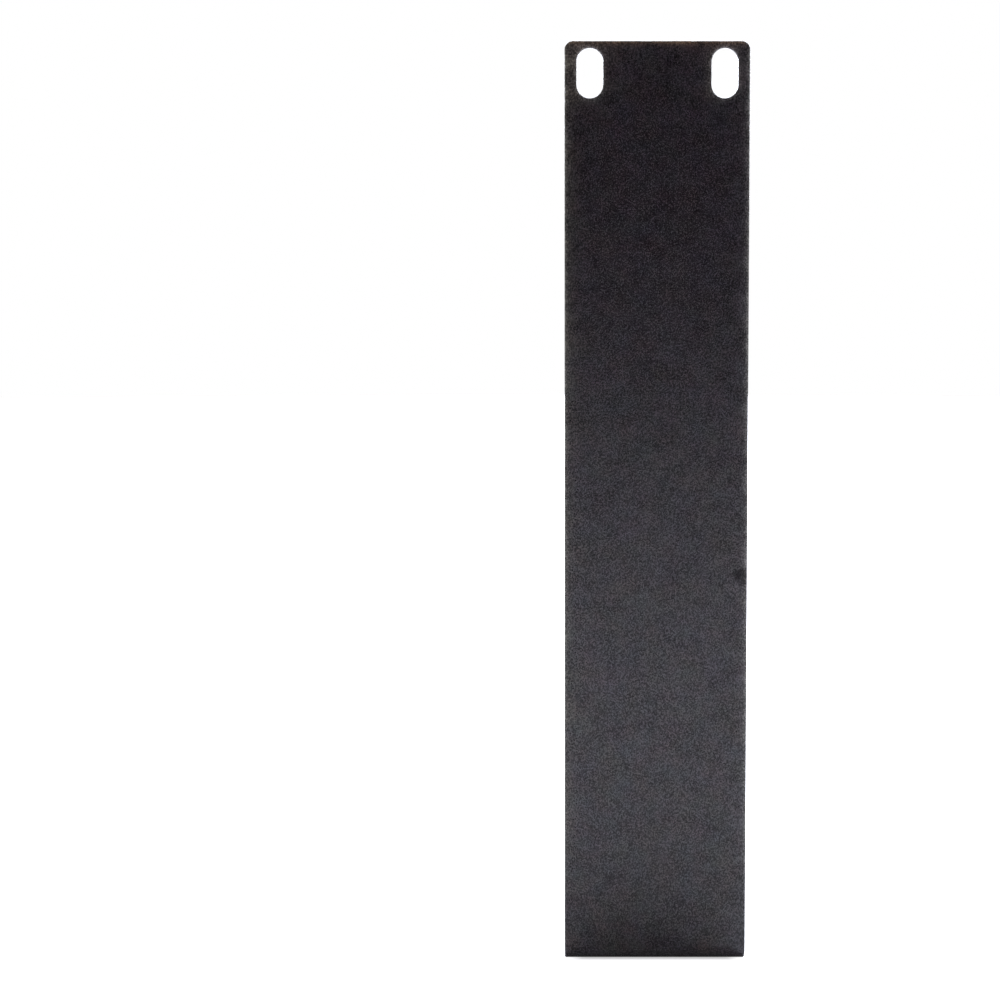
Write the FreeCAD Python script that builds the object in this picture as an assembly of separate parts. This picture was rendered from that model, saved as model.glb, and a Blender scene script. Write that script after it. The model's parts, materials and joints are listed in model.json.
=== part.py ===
"""Rack mount ear bracket, folded from one strip of coated steel sheet.

The long plate stands upright and carries two slots at its free end, for the screws of
an equipment rack. One bend at the foot of the plate leads into a short flange, which
lies flat and carries twelve holes for the screws of the device that the ear holds.

Axes: +X runs across the strip, the flange goes back from the plate along +Y, and the
plate rises along +Z. The origin is the middle of the footprint, on the flange's
underside. All sizes are in millimetres.
"""
import FreeCAD, Part
import math
import os

# Sheet and fold
SHEET_THICKNESS = 1.7  # steel sheet with its coating on both faces
BEND_INSIDE_RADIUS = 1.5  # about one sheet thickness, as a press brake leaves it
EDGE_ROUNDING = 0.4  # the cut outline and the slots, tumbled and then coated
CORNER_RADIUS = 2.0  # the four free corners of the strip

# Rack standard across the strip
RACK_UNIT_HEIGHT = 44.45
UNIT_CLEARANCE = 0.79  # a one-unit panel is 1/32 inch less than its unit
RACK_HOLE_MARGIN = 6.35  # edge of the rack unit to the nearest rail hole

# Upright plate
PLATE_LENGTH = 220.0  # underside of the flange to the plate's free end
RACK_SLOT_WIDTH = 6.2
RACK_SLOT_LENGTH = 11.6
RACK_SLOT_MARGIN = 1.7  # metal between a slot and the plate's free end

# Flange holes, measured back from the plate's front face
DEVICE_HOLE_DIAMETER = 4.0
DEVICE_HOLE_CHAMFER = 0.2  # deburred on both faces before coating
INNER_HOLE_START = 17.4
INNER_HOLE_PITCH = 10.4
INNER_HOLE_COUNT = 4
INNER_ROW_SPACING = 20.0
OUTER_HOLE_SPACING = 33.4
OUTER_ROW_SPACING = 32.0
FREE_END_MARGIN = 5.0  # centre of the last hole to the flange's free end

# Sizes that follow
STRIP_WIDTH = RACK_UNIT_HEIGHT - UNIT_CLEARANCE
RACK_SLOT_SPACING = RACK_UNIT_HEIGHT - 2 * RACK_HOLE_MARGIN
RACK_SLOT_HEIGHT = PLATE_LENGTH - RACK_SLOT_MARGIN - RACK_SLOT_LENGTH / 2
BEND_OUTSIDE_RADIUS = BEND_INSIDE_RADIUS + SHEET_THICKNESS
OUTER_HOLE_START = INNER_HOLE_START + INNER_HOLE_PITCH / 2
INNER_HOLES = [INNER_HOLE_START + i * INNER_HOLE_PITCH for i in range(INNER_HOLE_COUNT)]
OUTER_HOLES = [OUTER_HOLE_START, OUTER_HOLE_START + OUTER_HOLE_SPACING]
FLANGE_LENGTH = max(INNER_HOLES + OUTER_HOLES) + FREE_END_MARGIN

ACROSS = FreeCAD.Vector(1, 0, 0)
BACK = FreeCAD.Vector(0, 1, 0)
UP = FreeCAD.Vector(0, 0, 1)
SHARP_ANGLE = math.radians(30)
SAME_PLACE = 0.001  # two places nearer than this are one


def section_point(y, z):
    """A point of the strip's section, on the strip's left side face."""
    return FreeCAD.Vector(-STRIP_WIDTH / 2, y, z)


def strip_section():
    """The L-shaped section: two straight legs of one sheet, joined by the bend."""
    outside = BEND_OUTSIDE_RADIUS
    half_turn = math.sqrt(0.5)

    def bend_middle(radius):
        return section_point(outside - radius * half_turn, outside - radius * half_turn)

    front_top = section_point(0, PLATE_LENGTH)
    front_low = section_point(0, outside)
    under_near = section_point(outside, 0)
    under_far = section_point(FLANGE_LENGTH, 0)
    upper_far = section_point(FLANGE_LENGTH, SHEET_THICKNESS)
    upper_near = section_point(outside, SHEET_THICKNESS)
    back_low = section_point(SHEET_THICKNESS, outside)
    back_top = section_point(SHEET_THICKNESS, PLATE_LENGTH)
    edges = [
        Part.LineSegment(front_top, front_low),
        Part.Arc(front_low, bend_middle(BEND_OUTSIDE_RADIUS), under_near),
        Part.LineSegment(under_near, under_far),
        Part.LineSegment(under_far, upper_far),
        Part.LineSegment(upper_far, upper_near),
        Part.Arc(upper_near, bend_middle(BEND_INSIDE_RADIUS), back_low),
        Part.LineSegment(back_low, back_top),
        Part.LineSegment(back_top, front_top),
    ]
    return Part.Face(Part.Wire([edge.toShape() for edge in edges]))


def round_free_corners(strip):
    """Round the two corners at each free end, through the thickness of the sheet."""
    thin = SHEET_THICKNESS * 1.01
    corners = []
    for edge in strip.Edges:
        middle = edge.CenterOfMass
        at_side = abs(abs(middle.x) - STRIP_WIDTH / 2) < SAME_PLACE
        at_plate_end = abs(middle.z - PLATE_LENGTH) < SAME_PLACE
        at_flange_end = abs(middle.y - FLANGE_LENGTH) < SAME_PLACE
        at_end = at_plate_end or at_flange_end
        if at_side and at_end and edge.Length < thin:
            corners.append(edge)
    return strip.makeFillet(CORNER_RADIUS, corners)


def rack_slot(x):
    """Cutter for one slot, long way up, through the plate."""
    radius = RACK_SLOT_WIDTH / 2
    straight = RACK_SLOT_LENGTH - RACK_SLOT_WIDTH
    depth = 3 * SHEET_THICKNESS
    low = FreeCAD.Vector(x, -SHEET_THICKNESS, RACK_SLOT_HEIGHT - straight / 2)
    lower_end = Part.makeCylinder(radius, depth, low, BACK)
    upper_end = Part.makeCylinder(radius, depth, low + UP * straight, BACK)
    corner = low - ACROSS * radius
    middle = Part.makeBox(RACK_SLOT_WIDTH, depth, straight, corner)
    return lower_end.fuse([middle, upper_end]).removeSplitter()


def device_hole(x, y):
    """Cutter for one round hole through the flange."""
    foot = FreeCAD.Vector(x, y, -SHEET_THICKNESS)
    return Part.makeCylinder(DEVICE_HOLE_DIAMETER / 2, 3 * SHEET_THICKNESS, foot, UP)


def piercings():
    """Every slot and hole of the strip, mirrored about its middle line."""
    cutters = []
    for side in (-1, 1):
        cutters.append(rack_slot(side * RACK_SLOT_SPACING / 2))
        for y in INNER_HOLES:
            cutters.append(device_hole(side * INNER_ROW_SPACING / 2, y))
        for y in OUTER_HOLES:
            cutters.append(device_hole(side * OUTER_ROW_SPACING / 2, y))
    return cutters


def is_sharp(solid, edge):
    """Whether the two faces at this edge meet at an angle, not smoothly."""
    point = edge.valueAt((edge.FirstParameter + edge.LastParameter) / 2)
    normals = []
    for face in solid.ancestorsOfType(edge, Part.Face):
        u, v = face.Surface.parameter(point)
        normals.append(face.normalAt(u, v))
    return len(normals) == 2 and normals[0].getAngle(normals[1]) > SHARP_ANGLE


def is_hole_rim(edge):
    """Whether this edge is the full circle where a round hole meets a face."""
    circle = isinstance(edge.Curve, Part.Circle) and edge.isClosed()
    return circle and abs(edge.Curve.Radius - DEVICE_HOLE_DIAMETER / 2) < SAME_PLACE


def soften_edges(solid):
    """Round the outline's edges and the slots' rims, and chamfer the round holes."""
    widest = 0.3 * SHEET_THICKNESS
    sharp = [edge for edge in solid.Edges if is_sharp(solid, edge) and not is_hole_rim(edge)]
    solid = solid.makeFillet(min(EDGE_ROUNDING, widest), sharp)
    rims = [edge for edge in solid.Edges if is_hole_rim(edge)]
    return solid.makeChamfer(min(DEVICE_HOLE_CHAMFER, widest), rims)


def ear_bracket():
    """The whole ear, with its origin at the middle of the footprint."""
    strip = strip_section().extrude(ACROSS * STRIP_WIDTH)
    strip = round_free_corners(strip)
    strip = strip.cut(piercings())
    strip = soften_edges(strip)
    strip.translate(BACK * (-FLANGE_LENGTH / 2))
    return strip


os.makedirs("parts", exist_ok=True)
ear = ear_bracket()
print("solids", len(ear.Solids), "valid", ear.isValid(), "volume", round(ear.Volume, 2))
print("box", ear.BoundBox)
ear.exportStep("parts/ear_bracket.step")
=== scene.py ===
# %% [markdown]
# A rack mount ear is one strip of steel, folded once and powder coated in black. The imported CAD
# part already has its true form: the upright plate, the fold, the flange, the two slots, the
# twelve holes and every rounded edge. So nothing is modelled over it here. What is left to make
# is what the eye judges first on such a plain thing: the coating, the light and the view.

import json
import math

import bpy
from mathutils import Matrix, Vector


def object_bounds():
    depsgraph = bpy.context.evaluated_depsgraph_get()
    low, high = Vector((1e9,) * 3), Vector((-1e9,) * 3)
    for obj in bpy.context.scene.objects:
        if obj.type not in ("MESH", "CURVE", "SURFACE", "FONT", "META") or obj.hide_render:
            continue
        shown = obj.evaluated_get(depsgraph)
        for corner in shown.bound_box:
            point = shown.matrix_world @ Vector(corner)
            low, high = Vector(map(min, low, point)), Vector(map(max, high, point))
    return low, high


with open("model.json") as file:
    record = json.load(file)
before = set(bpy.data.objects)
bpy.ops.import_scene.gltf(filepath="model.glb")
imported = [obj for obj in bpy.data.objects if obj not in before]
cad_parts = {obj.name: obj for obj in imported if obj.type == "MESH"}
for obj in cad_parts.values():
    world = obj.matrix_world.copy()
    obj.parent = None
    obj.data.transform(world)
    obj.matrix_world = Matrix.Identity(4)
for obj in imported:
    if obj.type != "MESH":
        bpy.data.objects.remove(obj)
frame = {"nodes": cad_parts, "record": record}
cad_low, cad_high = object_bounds()
ear = frame["nodes"]["ear_bracket"]
MM = 0.001
print("ear box in mm", [round(c / MM, 2) for c in (*cad_low, *cad_high)])

# %% [markdown]
# The coating needs a few places on the strip, such as where the sheet ends or where a slot is.
# They could be typed in, but a typed number goes stale when the part changes. They are measured
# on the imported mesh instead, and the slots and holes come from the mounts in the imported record.

# %% Measure the strip
SAME_PLACE = 0.001 * MM  # two places nearer than this are one
half_width = cad_high.x
free_end = cad_high.z
plate_front = cad_low.y
flange_end = cad_high.y

upper_plate = [v.co for v in ear.data.vertices if v.co.z > free_end / 2]
plate_back = max(p.y for p in upper_plate)
sheet_thickness = plate_back - plate_front
print("sheet", round(sheet_thickness / MM, 2), "mm, half width", round(half_width / MM, 2), "mm")

# The plate's front is flat down to where the fold begins.
flat_front = [v.co for v in ear.data.vertices if v.co.y < plate_front + SAME_PLACE]
fold_radius = min(p.z for p in flat_front)
print("outside radius of the fold", round(fold_radius / MM, 2), "mm")

# %% Find the slots and the holes
mounts = {mount["name"]: mount for mount in frame["record"]["mounts"]}
slot_places = [mounts[name]["pos_m"] for name in ("rack_slot_left", "rack_slot_right")]
slot_centres = [(x, z) for x, _, z in slot_places]
slot_size = mounts["rack_slot_left"]["dims"]
slot_radius = slot_size["hole_r_mm"] * MM
slot_half_straight = slot_size["slot_length_mm"] / 2 * MM - slot_radius
print("slots at", slot_centres, "radius", slot_radius)
print("half of a slot's straight part", round(slot_half_straight, 5))

hole_centres = []
for name in ("outer_device_holes", "inner_device_holes", "middle_device_holes"):
    middle_x, middle_y, _ = mounts[name]["pos_m"]
    half_across = mounts[name]["dims"]["spacing_x_mm"] / 2 * MM
    half_along = mounts[name]["dims"]["spacing_y_mm"] / 2 * MM
    for side in (-1, 1):
        for end in (-1, 1):
            hole_centres.append((middle_x + side * half_across, middle_y + end * half_along))
hole_radius = mounts["inner_device_holes"]["dims"]["hole_r_mm"] * MM
print(len(hole_centres), "holes in the flange, radius", hole_radius)

# %% [markdown]
# The camera stands a little to the left of the ear and looks slightly down on it. Its lens
# decides how fast things shrink with distance: the strip's upright sides come together towards
# the foot by about one part in thirty, and a 90 mm lens at some 60 cm gives just that. The ear
# stands to the right in the picture, yet its sides stay upright and its flange stays hidden, so
# the lens is shifted sideways a little and the camera isn't turned.

# %% Camera
LENS = 90 * MM
SENSOR = 36 * MM
CAMERA_DISTANCE = 593.53 * MM  # in front of the plate
CAMERA_SIDE = -20.53 * MM  # left of the strip's middle
CAMERA_HEIGHT = 163.62 * MM
LOOK_DOWN = math.radians(4.986)
LENS_SHIFT = -0.07  # of the picture's width

camera_data = bpy.data.cameras.new("camera")
camera_data.lens = LENS / MM
camera_data.sensor_width = SENSOR / MM
camera_data.shift_x = LENS_SHIFT
camera = bpy.data.objects.new("camera", camera_data)
bpy.context.scene.collection.objects.link(camera)
stand = Matrix.Translation((CAMERA_SIDE, plate_front - CAMERA_DISTANCE, CAMERA_HEIGHT))
tilt = Matrix.Rotation(math.radians(90) - LOOK_DOWN, 4, "X")
camera.matrix_world = stand @ tilt
bpy.context.scene.camera = camera
bpy.context.scene.view_settings.view_transform = "Standard"
print("camera at", [round(c, 4) for c in camera.matrix_world.translation])

# %% [markdown]
# Every look below is a node tree, and those are easier to read when each node is one short
# line. A few helpers add a node with its settings and inputs, do one sum, or give the exponential
# fade that a rubbed edge or a soft shadow has.


# %% Helpers for node trees
def add_node(tree, kind, inputs=None, **settings):
    """A new node. An input value that is a socket is linked, and anything else is set."""
    node = tree.nodes.new(kind)
    for name, value in settings.items():
        setattr(node, name, value)
    for key, value in (inputs or {}).items():
        if isinstance(value, bpy.types.NodeSocket):
            tree.links.new(value, node.inputs[key])
        else:
            node.inputs[key].default_value = value
    return node


def math_node(tree, operation, *values, clamp=False):
    """The result of a Math node."""
    inputs = dict(enumerate(values))
    node = add_node(tree, "ShaderNodeMath", inputs, operation=operation, use_clamp=clamp)
    return node.outputs[0]


def fade(tree, distance, length):
    """1 where the distance is 0, falling to a third of that over each length."""
    share = math_node(tree, "DIVIDE", distance, -length)
    return math_node(tree, "EXPONENT", math_node(tree, "MINIMUM", share, 0.0))


def ramp(tree, value, low, high, to_low=0.0, to_high=1.0):
    """The value, taken from one range to another and kept inside it."""
    start = {"From Min": low, "From Max": high}
    end = {"To Min": to_low, "To Max": to_high}
    node = add_node(tree, "ShaderNodeMapRange", {"Value": value, **start, **end})
    return node.outputs["Result"]


def scaled(tree, colour, factor):
    """A colour times a number."""
    inputs = {0: colour, "Scale": factor}
    node = add_node(tree, "ShaderNodeVectorMath", inputs, operation="SCALE")
    return node.outputs["Vector"]


def added(tree, first, second):
    """Two colours added."""
    node = add_node(tree, "ShaderNodeVectorMath", {0: first, 1: second}, operation="ADD")
    return node.outputs["Vector"]


print("node helpers ready")

# %% [markdown]
# The photo was taken in a white product studio: white all round, no hard shadow, and one thing
# dark, which is the room behind the camera. The world is that white. It lights the ear plainly,
# and what looks straight at it, or mirrors it, sees pure white. A ray's kind tells the two apart.
# The photo's greys lean a little to purple, so the light that the world gives leans there too.

# %% World
WORLD_LIGHT = 0.70
WORLD_TINT = (0.99, 0.96, 1.06)
world = bpy.data.worlds.new("studio")
world.use_nodes = True
bpy.context.scene.world = world
tree = world.node_tree
ray = add_node(tree, "ShaderNodeLightPath").outputs
mirrored = math_node(tree, "MAXIMUM", ray["Is Glossy Ray"], ray["Is Transmission Ray"])
seen = math_node(tree, "MAXIMUM", ray["Is Camera Ray"], mirrored)
lighting = scaled(tree, WORLD_TINT, ramp(tree, seen, 0, 1, WORLD_LIGHT, 0))
background = tree.nodes["Background"]
tree.links.new(added(tree, lighting, scaled(tree, (1, 1, 1), seen)), background.inputs["Color"])
print("world light", WORLD_LIGHT)

# %% [markdown]
# The floor is a sheet of white paper. The plate shades the paper in front of its foot, and the
# satin coat mirrors that shade: this is why the foot of the plate darkens. In the photo itself
# that shade is cleaned away to pure white, all but a thin dark line where the fold meets the
# floor. So the paper takes its shade from the lamp, and the camera sees it lifted to white,
# with the lift held back right under the fold.

# %% Floor
FLOOR_RADIUS = 3.0
FLOOR_CORNERS = 96
FLOOR_WHITE = 0.9
CAMERA_LIFT = 0.95
GLOSS_LIFT = 0.05
CONTACT_LIFT = 0.55  # share of the lift that is left under the fold
CONTACT_REACH = 3.0 * MM
CONTACT_INSET = 3.0 * MM  # the dark line stops this far inside the strip's sides

bpy.ops.object.select_all(action="DESELECT")
bpy.ops.mesh.primitive_circle_add(
    vertices=FLOOR_CORNERS, radius=FLOOR_RADIUS, fill_type="NGON", location=(0, 0, 0)
)
floor = bpy.context.object
floor.name = "floor"
paper = bpy.data.materials.new("white_paper")
paper.use_nodes = True
paper.cycles.emission_sampling = "NONE"
tree = paper.node_tree
tree.nodes.clear()
white = (FLOOR_WHITE, FLOOR_WHITE, FLOOR_WHITE, 1)
matt = add_node(tree, "ShaderNodeBsdfDiffuse", {"Color": white})
place = add_node(tree, "ShaderNodeTexCoord").outputs["Object"]
spot = add_node(tree, "ShaderNodeSeparateXYZ", {0: place}).outputs
before_foot = math_node(tree, "SUBTRACT", plate_front, spot["Y"])
from_middle = math_node(tree, "ABSOLUTE", spot["X"])
beside_foot = math_node(tree, "SUBTRACT", from_middle, half_width - CONTACT_INSET)
off_foot = math_node(tree, "MAXIMUM", before_foot, beside_foot)
open_floor = ramp(tree, off_foot, -CONTACT_REACH / 2, CONTACT_REACH / 2, CONTACT_LIFT, 1.0)
ray = add_node(tree, "ShaderNodeLightPath").outputs
mirrored = math_node(tree, "MAXIMUM", ray["Is Glossy Ray"], ray["Is Transmission Ray"])
by_eye = math_node(tree, "MULTIPLY", ray["Is Camera Ray"], CAMERA_LIFT)
by_gloss = math_node(tree, "MULTIPLY", mirrored, GLOSS_LIFT)
lift = math_node(tree, "MULTIPLY", math_node(tree, "ADD", by_eye, by_gloss), open_floor)
glow = add_node(tree, "ShaderNodeEmission", {"Color": (1, 1, 1, 1), "Strength": lift})
both = add_node(tree, "ShaderNodeAddShader", {0: matt.outputs[0], 1: glow.outputs[0]})
add_node(tree, "ShaderNodeOutputMaterial", {"Surface": both.outputs[0]})
floor.data.materials.append(paper)
print("floor of", FLOOR_RADIUS, "m, lifted by", CAMERA_LIFT, "for the eye")

# %% [markdown]
# One large soft lamp stands behind the ear, high and a little to the right. From there it leaves
# the front of the plate to the light of the floor and the walls, brightens the roundings that
# face up and to the right, and throws the plate's shade forward over the paper. It stands well
# away, so that it lights the floor evenly: the plate mirrors that floor, and would show a lamp
# that is too near as a pale band.

# %% Lamp
LAMP_SIZE = 3.5
LAMP_PLACE = Vector((0.43, 2.80, 1.82))
LAMP_POWER = 416
LAMP_COLOUR = (0.96, 1.0, 1.12)
lamp_data = bpy.data.lights.new("softbox", "AREA")
lamp_data.size = LAMP_SIZE
lamp_data.energy = LAMP_POWER
lamp_data.color = LAMP_COLOUR
lamp = bpy.data.objects.new("softbox", lamp_data)
bpy.context.scene.collection.objects.link(lamp)
lamp.location = LAMP_PLACE
lamp.rotation_mode = "QUATERNION"
lamp.rotation_quaternion = (-LAMP_PLACE).to_track_quat("-Z", "Y")
lamp.visible_camera = False
print("lamp", round(LAMP_PLACE.length, 2), "m away")

# %% [markdown]
# The upper half of the plate is nearly black because it mirrors the dark room above and behind
# the camera, and the lower half is grey because it mirrors the white floor. A flat plate turns
# one into the other at the height where the mirrored line of sight meets the end of the floor.
# A dark card stands there, hidden from the camera itself.

# %% Dark card
CARD_DISTANCE = 2.6
CARD_WIDTH = 3.55
CARD_HEIGHT = 2.85
CARD_GAP = 1 * MM  # between the card and the floor
FELT_BLACK = 0.02
bpy.ops.object.select_all(action="DESELECT")
bpy.ops.mesh.primitive_plane_add(size=1, location=(0, 0, 0))
card = bpy.context.object
card.name = "dark_card"
card_middle = CARD_HEIGHT / 2 + CARD_GAP
card.data.transform(Matrix.Diagonal((CARD_WIDTH, CARD_HEIGHT, 1, 1)))
card.data.transform(Matrix.Rotation(math.radians(90), 4, "X"))
card.data.transform(Matrix.Translation((0, plate_front - CARD_DISTANCE, card_middle)))
felt = bpy.data.materials.new("black_felt")
felt.use_nodes = True
tree = felt.node_tree
tree.nodes.clear()
dark = add_node(tree, "ShaderNodeBsdfDiffuse", {"Color": (FELT_BLACK, FELT_BLACK, FELT_BLACK, 1)})
add_node(tree, "ShaderNodeOutputMaterial", {"Surface": dark.outputs[0]})
card.data.materials.append(felt)
card.visible_camera = False
print("card", CARD_DISTANCE, "m in front of the plate")

# %% [markdown]
# Powder pulls back from a cut edge when it melts, and handling rubs what is left, so every cut
# edge of the strip is paler than the middle, and each rounded edge gets a painted highlight and a
# painted sheen beside it as well. The shader needs to know how far a point is from the nearest
# cut. A Bevel or Pointiness node could guess that from the mesh, but neither survives an export.
# The cuts are straight lines, slots and circles, so a little arithmetic on Object coordinates
# gives the distance exactly. A circle is a slot with no straight part, so one node group serves
# both.


# %% Group: distance to a slot or a hole
def new_group(name, inputs, outputs):
    """An empty node group with named number sockets, its inputs and its outputs."""
    group = bpy.data.node_groups.new(name, "ShaderNodeTree")
    for socket in inputs:
        group.interface.new_socket(socket, in_out="INPUT", socket_type="NodeSocketFloat")
    for socket in outputs:
        group.interface.new_socket(socket, in_out="OUTPUT", socket_type="NodeSocketFloat")
    given = group.nodes.new("NodeGroupInput").outputs
    result = group.nodes.new("NodeGroupOutput").inputs
    return group, given, result


def line_length(tree, across, along):
    """The length of a straight line, from its two legs."""
    squares = [math_node(tree, "POWER", leg, 2.0) for leg in (across, along)]
    return math_node(tree, "SQRT", math_node(tree, "ADD", *squares))


distance_to_cut, given, result = new_group(
    "distance_to_cut",
    ["Across", "Along", "Centre Across", "Centre Along", "Half Straight", "Radius"],
    ["Distance"],
)
tree = distance_to_cut
sideways = math_node(tree, "SUBTRACT", given["Across"], given["Centre Across"])
lengthways = math_node(tree, "SUBTRACT", given["Along"], given["Centre Along"])
lengthways = math_node(tree, "ABSOLUTE", lengthways)
past_straight = math_node(tree, "SUBTRACT", lengthways, given["Half Straight"])
past_straight = math_node(tree, "MAXIMUM", past_straight, 0.0)
from_centre = line_length(tree, sideways, past_straight)
from_rim = math_node(tree, "SUBTRACT", from_centre, given["Radius"])
tree.links.new(math_node(tree, "MAXIMUM", from_rim, 0.0), result["Distance"])
print("group", distance_to_cut.name, "with", len(tree.nodes), "nodes")

# %% Start the coat and find the nearest cut
coat = bpy.data.materials.new("powder_coat_finish")
coat.use_nodes = True
tree = coat.node_tree
shader = tree.nodes["Principled BSDF"]
place = add_node(tree, "ShaderNodeTexCoord").outputs["Object"]
at = add_node(tree, "ShaderNodeSeparateXYZ", {0: place}).outputs


def cut_distance(across, along, centre, half_straight, radius):
    """The distance to one slot or hole, from the group."""
    node = add_node(tree, "ShaderNodeGroup", node_tree=distance_to_cut)
    tree.links.new(across, node.inputs["Across"])
    tree.links.new(along, node.inputs["Along"])
    for name, value in zip(("Centre Across", "Centre Along"), centre):
        node.inputs[name].default_value = value
    node.inputs["Half Straight"].default_value = half_straight
    node.inputs["Radius"].default_value = radius
    return node.outputs["Distance"]


RIGHT_LIGHT_SHIFT = 0.13 * MM  # the pale rims lie this far to the left, so rims that face right show more of them: painted light from the right
x_for_right_light = math_node(tree, "ADD", at["X"], RIGHT_LIGHT_SHIFT)
from_side = math_node(tree, "SUBTRACT", half_width, math_node(tree, "ABSOLUTE", x_for_right_light))
from_plate_end = math_node(tree, "SUBTRACT", free_end, at["Z"])
from_flange_end = math_node(tree, "SUBTRACT", flange_end, at["Y"])
inner_cuts = []
for centre in slot_centres:
    inner_cuts.append(cut_distance(x_for_right_light, at["Z"], centre, slot_half_straight, slot_radius))
for centre in hole_centres:
    inner_cuts.append(cut_distance(x_for_right_light, at["Y"], centre, 0.0, hole_radius))
other_cut = from_flange_end
for distance in inner_cuts:
    other_cut = math_node(tree, "MINIMUM", other_cut, distance)
print(len(inner_cuts), "inner cuts and the outline")

# %% [markdown]
# A cut face isn't pale all over. The powder is thinnest along its two edges, where the sheet's
# faces end, and lies thick along its middle, and the painted highlight belongs on those edges too.
# So how deep a point lies in the sheet is added to its distance from the cut, which leaves the
# edges pale and the middle dark. The sheet is folded, so the depth is taken from the plate's
# front or from the flange's underside, whichever is less.

# %% How deep in the sheet a point lies
from_front = math_node(tree, "SUBTRACT", at["Y"], plate_front)
depth = math_node(tree, "MINIMUM", from_front, at["Z"])
from_far_face = math_node(tree, "SUBTRACT", sheet_thickness, depth)
into_sheet = math_node(tree, "MAXIMUM", math_node(tree, "MINIMUM", depth, from_far_face), 0.0)


def with_depth(distance):
    """The distance to a cut, 0 on the cut face itself, with the depth in the sheet added."""
    return math_node(tree, "ADD", math_node(tree, "MAXIMUM", distance, 0.0), into_sheet)


from_side = with_depth(from_side)
from_plate_end = with_depth(from_plate_end)
other_cut = with_depth(other_cut)
print("a cut face is pale along its edges and dark along its middle")

# %% [markdown]
# The coat itself is a fine black powder with a warm purple cast. Seen close, it is grainy: every
# half millimetre or so there is a bump or a pit, and a pit looks darker both in its colour and in
# its gloss. One noise drives all three, the colour, the gloss and the relief, so that they agree
# as they do on the real skin. Two larger and much fainter noises make soft patches: one makes the
# coat a little lighter or darker, and the other leans it to mauve or blue, more so lower down.


# %% Noises
NOISE_RANGE = (0.3, 0.7)  # nearly all values of a noise lie in it


def noise(vector, size, detail, roughness=0.5):
    """The outputs of a Noise Texture whose bumps are about this size."""
    inputs = {"Vector": vector, "Scale": 1 / size, "Detail": detail, "Roughness": roughness}
    return add_node(tree, "ShaderNodeTexNoise", inputs).outputs


def spread(value, low=-1.0, high=1.0):
    """A noise whose values are spread over another range."""
    return ramp(tree, value, *NOISE_RANGE, low, high)


print("noise helpers ready")

# %% Grain and patches
GRAIN_SIZE = 0.4 * MM
GRAIN_SQUASH = 1.3  # the grain is a little narrower than it is tall
SPECK_CURVE = 1.7  # above 1, so that pale specks are fewer than dark pits
SPECK_RANGE = 2.2
SPECK_MIDDLE = 0.78  # taken off again, so that the grain leaves the mean tone alone
squash = add_node(tree, "ShaderNodeMapping", {"Vector": place, "Scale": (GRAIN_SQUASH, 1.0, 1.0)})
grain = noise(squash.outputs[0], GRAIN_SIZE, 1.0)["Fac"]
specks = math_node(tree, "POWER", spread(grain, 0.0, 1.0), SPECK_CURVE)
speck_tone = math_node(tree, "MULTIPLY_ADD", specks, SPECK_RANGE, -SPECK_MIDDLE)

PATCH_SIZE = 3.5 * MM
patch_tone = spread(noise(place, PATCH_SIZE, 1.0)["Fac"])

HUE_SIZE = 6.0 * MM
HUE_HEIGHTS = (60 * MM, 160 * MM)
HUE_DEPTHS = (1.8, 0.7)  # how strong the hues are at those two heights
hues = noise(place, HUE_SIZE, 2.0, roughness=0.6)["Color"]
hue_parts = add_node(tree, "ShaderNodeSeparateXYZ", {0: hues}).outputs
hue_depth = ramp(tree, at["Z"], *HUE_HEIGHTS, *HUE_DEPTHS)
mauve_tone = math_node(tree, "MULTIPLY", spread(hue_parts["X"]), hue_depth)
blue_tone = math_node(tree, "MULTIPLY", spread(hue_parts["Y"]), hue_depth)
print("grain about", GRAIN_SIZE / MM, "mm, patches", PATCH_SIZE / MM, "and", HUE_SIZE / MM, "mm")

# %% [markdown]
# The rims aren't pale alike. Each has a bright line of its own, worn and thin coat with a
# painted highlight of its rounded edge, and beside it a wide, faint gleam, which is painted
# sheen. A real ear is rubbed most where it is handled and screwed, which is the end with the
# slots: the corners, and the narrow metal between the left slot and the side, are the palest,
# and the plate's end is brown. The rims next to the fold get painted shade and stay dark. So
# each rim is a colour times the fade from its cut, and they are all added up.

# %% How far the pale rims and their painted sheen reach
RIM_LENGTH = 0.42 * MM
GLEAM_LENGTH = 1.6 * MM
HANDLED_LENGTH = 22 * MM
beside_cut = fade(tree, other_cut, GLEAM_LENGTH)
beside_side = fade(tree, from_side, GLEAM_LENGTH)
beside_end = fade(tree, from_plate_end, GLEAM_LENGTH)
to_right = ramp(tree, at["X"], -half_width, half_width)
to_left = math_node(tree, "SUBTRACT", 1.0, to_right)


def by_side(left_and_right):
    """A number that goes from its left value to its right one across the strip."""
    return ramp(tree, to_right, 0.0, 1.0, *left_and_right)


print("rims fade over", RIM_LENGTH / MM, "and", GLEAM_LENGTH / MM, "mm")

# %% Painted sheen beside the rims
# Each gleam is painted sheen: a faint lightening that fades away from its rim.
WARM_GLEAM = (0.021, 0.019, 0.011)  # at the left side of the strip
COOL_GLEAM = (0.0190, 0.0182, 0.0185)  # at its right side
CUT_GLEAM = (0.0125, 0.0112, 0.0070)
CUT_SHARES = (1.15, 0.65)  # of that gleam, at the left side and at the right
NARROW_GLEAM = (0.058, 0.052, 0.035)  # where a cut and the left side lie close together
CORNER_GLEAM = (0.062, 0.048, 0.040)  # above the slots and at the plate's two corners
CORNER_SHARES = (1.4, 0.55)
BELOW_SLOTS = 0.35  # share of the slots' gleam that is left below their lower ends
slot_foot = slot_centres[0][1] - slot_half_straight - slot_radius
gleam_low, gleam_high = slot_foot - 2 * MM, slot_foot + 1 * MM

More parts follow.
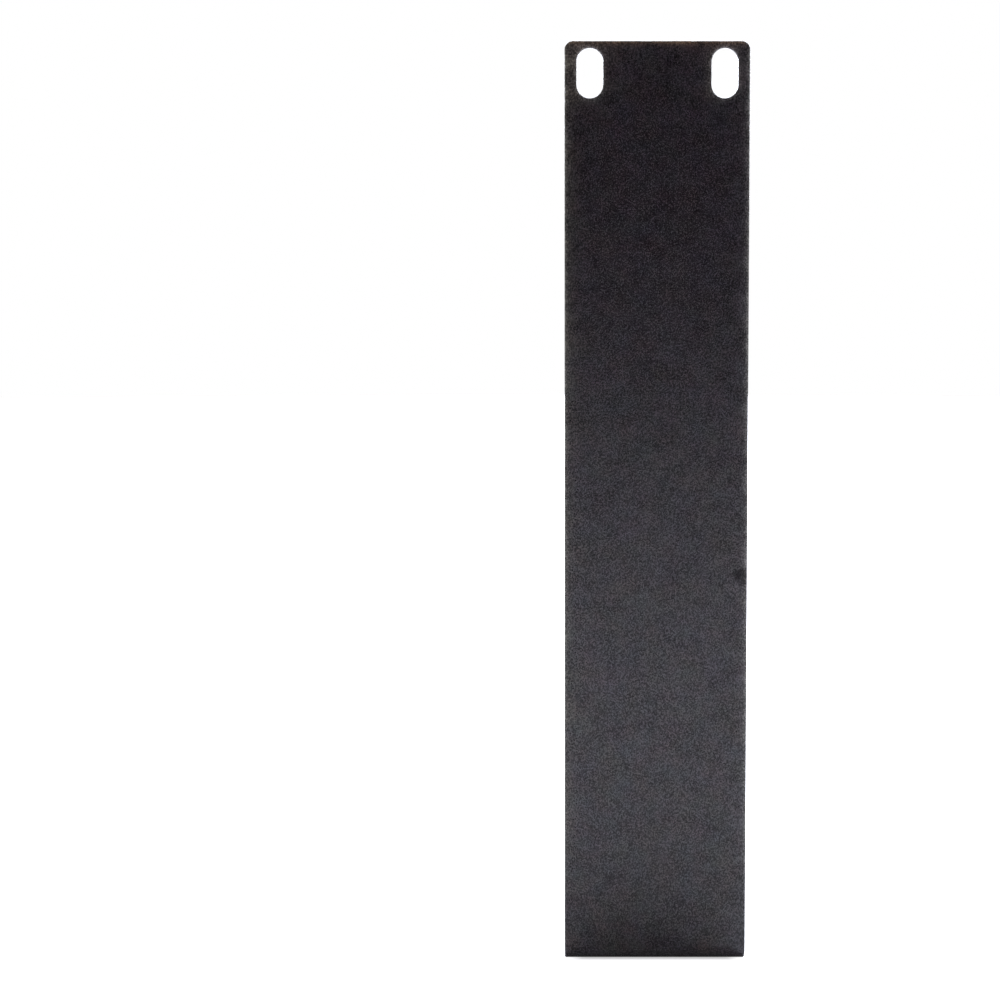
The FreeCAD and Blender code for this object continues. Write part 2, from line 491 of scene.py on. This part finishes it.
side_gleam = added(tree, scaled(tree, WARM_GLEAM, to_left), scaled(tree, COOL_GLEAM, to_right))
cut_gleam = scaled(tree, CUT_GLEAM, by_side(CUT_SHARES))
above_foot = ramp(tree, at["Z"], gleam_low, gleam_high, BELOW_SLOTS, 1.0)
cut_gleam = scaled(tree, cut_gleam, above_foot)
near_corner = math_node(tree, "MAXIMUM", beside_side, beside_cut)
near_corner = math_node(tree, "MULTIPLY", beside_end, near_corner)
near_corner = math_node(tree, "MULTIPLY", near_corner, by_side(CORNER_SHARES))
narrow = math_node(tree, "MULTIPLY", beside_side, beside_cut)
narrow = math_node(tree, "MULTIPLY", narrow, to_left)
rims = added(tree, scaled(tree, side_gleam, beside_side), scaled(tree, cut_gleam, beside_cut))
rims = added(tree, rims, scaled(tree, NARROW_GLEAM, narrow))
rims = added(tree, rims, scaled(tree, CORNER_GLEAM, near_corner))
print("gleams fade below", round(slot_foot / MM, 1), "mm, where the slots end")

# %% Bright lines of worn coat and painted highlight, and the handled end
# A bright line along a rim is worn, thin coat with a painted highlight of the rounded edge on it.
SIDE_WEAR_AND_HIGHLIGHT = (0.100, 0.100, 0.085)
SPARED_HEIGHTS = (175 * MM, 190 * MM)  # from here up the right side is rubbed less
SPARED_SHARE = 0.42
END_WEAR_AND_HIGHLIGHT = (0.120, 0.072, 0.030)
END_GLEAM = (0.008, 0.005, 0.003)
END_HANDLED = (0.0027, 0.0026, 0.0026)
CUT_WEAR_AND_HIGHLIGHT = (0.055, 0.052, 0.048)

spared = math_node(tree, "MULTIPLY", to_right, ramp(tree, at["Z"], *SPARED_HEIGHTS))
side_share = math_node(tree, "MULTIPLY_ADD", spared, -SPARED_SHARE, 1.0)
for distance, length, tint in (
    (from_side, RIM_LENGTH, scaled(tree, SIDE_WEAR_AND_HIGHLIGHT, side_share)),
    (from_plate_end, RIM_LENGTH, END_WEAR_AND_HIGHLIGHT),
    (from_plate_end, GLEAM_LENGTH, END_GLEAM),
    (from_plate_end, HANDLED_LENGTH, END_HANDLED),
    (other_cut, RIM_LENGTH, CUT_WEAR_AND_HIGHLIGHT),
):
    rims = added(tree, rims, scaled(tree, tint, fade(tree, distance, length)))
print("the plate's last", HANDLED_LENGTH / MM, "mm are paler from handling")

# %% Uneven, and darkened by painted shade beside the fold
UNEVEN = 0.25
FOLD_SHADE_REACH = (12 * MM, 36 * MM)  # distances from the fold, along the plate or the flange
RIM_SHARE_IN_FOLD_SHADE = 0.15  # share of the rims' paleness left beside the fold, under painted shade

uneven = ramp(tree, patch_tone, -1.0, 1.0, 1 - UNEVEN, 1 + UNEVEN)
from_fold = math_node(tree, "MAXIMUM", at["Z"], from_front)
# Painted shade: towards the fold the pale rims fade to a small share.
fold_shade_on_rims = ramp(tree, from_fold, *FOLD_SHADE_REACH, RIM_SHARE_IN_FOLD_SHADE, 1.0)
rims = scaled(tree, rims, math_node(tree, "MULTIPLY", uneven, fold_shade_on_rims))
print("rims beside the fold keep", RIM_SHARE_IN_FOLD_SHADE, "of their rubbing")

# %% [markdown]
# The photo shows two marks on the plate: a dark purple smudge near the right side, a little below
# the middle, and a faint dull spot with an olive one beside it, further up. Dirt has no clean
# outline, so the distance to a mark's centre is bent by a noise before it fades.


# %% Marks
MARK_CORE = 0.5  # a mark is full within this share of its size,
MARK_RIM = 1.3  # and gone outside this one
WOBBLES = 1.5  # bumps of its noise over its size


def mark(centre, size, bend):
    """1 in the middle of an uneven mark of this size on the plate's front, 0 outside it."""
    wobble = noise(place, size / WOBBLES, 3.0)["Fac"]
    x, z = centre
    across = math_node(tree, "SUBTRACT", at["X"], x)
    along = math_node(tree, "SUBTRACT", at["Z"], z)
    reach = line_length(tree, across, along)
    reach = math_node(tree, "ADD", reach, spread(wobble, -bend * size, bend * size))
    inside = ramp(tree, reach, MARK_CORE * size, MARK_RIM * size, 1.0, 0.0)
    on_front = math_node(tree, "LESS_THAN", at["Y"], plate_back - sheet_thickness / 2)
    return math_node(tree, "MULTIPLY", inside, on_front)


TAIL_SHARE = 0.7  # the smudge's lower end is weaker than its head
SPOT_SHARE = 0.32  # the dull spot is weaker still
smudge_head = mark(centre=(20.3 * MM, 94.0 * MM), size=1.75 * MM, bend=0.35)
smudge_tail = mark(centre=(20.7 * MM, 92.4 * MM), size=1.2 * MM, bend=0.5)
dull_spot = mark(centre=(-3.0 * MM, 143.7 * MM), size=2.3 * MM, bend=0.4)
olive_spot = mark(centre=(0.2 * MM, 142.3 * MM), size=1.6 * MM, bend=0.6)
smudge_tail = math_node(tree, "MULTIPLY", smudge_tail, TAIL_SHARE)
dull_spot = math_node(tree, "MULTIPLY", dull_spot, SPOT_SHARE)
dirt_and_foot_shade = math_node(tree, "MAXIMUM", smudge_head, smudge_tail)
dirt_and_foot_shade = math_node(tree, "MAXIMUM", dirt_and_foot_shade, dull_spot)
print("a smudge, a dull spot and an olive spot on the plate's front")

# %% [markdown]
# The fold is what the ear stands on. Its crown, where the plate begins to curve away, is a little
# paler, a painted highlight, and where it meets the floor it is dull and dark, a painted shade.
# Both run along the whole fold, so the height alone places them. They go no further back than
# the fold's radius, which leaves the flange clean.

# %% The fold's crown and foot
# The crown's paler band is a painted highlight.
CROWN_HEIGHT = 2.5 * MM
CROWN_LENGTH = 0.5 * MM
# Where the fold meets the floor, its colour and gloss get painted shade: darker and duller.
FOOT_SHADE_HEIGHTS = (0.8 * MM, 1.8 * MM)  # thickest up to the first, gone above the second
FOOT_SHADE_DEPTH = 0.45

on_fold = math_node(tree, "LESS_THAN", from_front, fold_radius)
from_crown = math_node(tree, "SUBTRACT", at["Z"], CROWN_HEIGHT)
from_crown = math_node(tree, "ABSOLUTE", from_crown)
crown_highlight = math_node(tree, "MULTIPLY", fade(tree, from_crown, CROWN_LENGTH), on_fold)
foot_shade = ramp(tree, at["Z"], *FOOT_SHADE_HEIGHTS, FOOT_SHADE_DEPTH, 0.0)
# Painted shade at the fold's foot joins the dirt here.
dirt_and_foot_shade = math_node(tree, "MAXIMUM", dirt_and_foot_shade, math_node(tree, "MULTIPLY", foot_shade, on_fold))
print("the crown lies", CROWN_HEIGHT / MM, "mm up, the dirt reaches", FOOT_SHADE_HEIGHTS[1] / MM, "mm")

# %% [markdown]
# Now the coat's colour is put together. It is the powder's black, tinted by the patches and the
# olive spot, paled by the fold's painted highlight and by the rims, which are worn coat with
# painted highlight and sheen, made lighter and darker by the grain, and darkened by the dirt and by
# the painted shade at the fold's foot.

# %% Coat colour
COAT_COLOUR = (0.0117, 0.0085, 0.0104)
GRAIN_IN_COLOUR = 0.75
PATCH_IN_COLOUR = 0.14
DARKEST_PIT = 0.05  # share of the colour that even the deepest pit keeps
MAUVE_TINT = (0.0017, -0.0011, -0.0004)
BLUE_TINT = (-0.0007, -0.0004, 0.0016)
OLIVE_TINT = (0.0018, 0.0022, -0.0006)
CROWN_HIGHLIGHT = (0.013, 0.012, 0.013)
UNDER_DIRT_AND_SHADE = 0.5  # share of the colour left where the dirt and the painted foot shade are thickest

grain_share = math_node(tree, "MULTIPLY", speck_tone, GRAIN_IN_COLOUR)
patch_share = math_node(tree, "MULTIPLY", patch_tone, PATCH_IN_COLOUR)
lightness = math_node(tree, "ADD", grain_share, patch_share)
lightness = math_node(tree, "ADD", lightness, 1.0)
lightness = math_node(tree, "MAXIMUM", lightness, DARKEST_PIT)
colour = added(tree, COAT_COLOUR, scaled(tree, MAUVE_TINT, mauve_tone))
colour = added(tree, colour, scaled(tree, BLUE_TINT, blue_tone))
colour = added(tree, colour, scaled(tree, OLIVE_TINT, olive_spot))
colour = added(tree, colour, scaled(tree, CROWN_HIGHLIGHT, crown_highlight))
colour = scaled(tree, added(tree, colour, rims), lightness)
colour = scaled(tree, colour, ramp(tree, dirt_and_foot_shade, 0.0, 1.0, 1.0, UNDER_DIRT_AND_SHADE))
tree.links.new(colour, shader.inputs["Base Color"])
print("coat colour", COAT_COLOUR)

# %% [markdown]
# The gloss of a powder coat comes from the clear binder that flows over the pigment, so it is a
# coat layer over a duller body. A plain gloss would mirror the floor as smoothly as paint, so
# the grain breaks the binder up. Dirt covers it, the painted shade at the fold's foot dulls it,
# and a rubbed rim has lost most of it. A real bump does the rest, where the mirrored floor ends.

# %% Gloss and relief
COAT_ROUGHNESS = 0.22
ROUGHNESS_RANGE = 0.02
BODY_GLOSS = 0.18
BINDER_MIDDLE = 0.56
GRAIN_IN_BINDER = 0.50
PATCH_IN_BINDER = 0.10
RUBBED_DULL = 0.8  # share of the gloss that a rubbed rim has lost
GRAIN_RELIEF = 0.05 * MM

binder = math_node(tree, "MULTIPLY_ADD", patch_tone, PATCH_IN_BINDER, BINDER_MIDDLE)
binder = math_node(tree, "MULTIPLY_ADD", speck_tone, GRAIN_IN_BINDER, binder, clamp=True)
binder = math_node(tree, "MULTIPLY", binder, math_node(tree, "SUBTRACT", 1.0, dirt_and_foot_shade))
nearest_cut = math_node(tree, "MINIMUM", other_cut, from_plate_end)
rubbed = fade(tree, nearest_cut, RIM_LENGTH)
still_glossy = math_node(tree, "MULTIPLY_ADD", rubbed, -RUBBED_DULL, 1.0)
binder = math_node(tree, "MULTIPLY", binder, still_glossy)
tree.links.new(binder, shader.inputs["Coat Weight"])
shader.inputs["Coat Roughness"].default_value = COAT_ROUGHNESS
shader.inputs["Specular IOR Level"].default_value = BODY_GLOSS
smoothest, roughest = COAT_ROUGHNESS - ROUGHNESS_RANGE, COAT_ROUGHNESS + ROUGHNESS_RANGE
roughness = ramp(tree, patch_tone, -1.0, 1.0, smoothest, roughest)
tree.links.new(roughness, shader.inputs["Roughness"])
bump = {"Height": grain, "Distance": GRAIN_RELIEF, "Strength": 1.0}
relief = add_node(tree, "ShaderNodeBump", bump)
tree.links.new(relief.outputs["Normal"], shader.inputs["Normal"])
for slot in ear.material_slots:
    slot.material = coat
print("coat has", len(tree.nodes), "nodes")
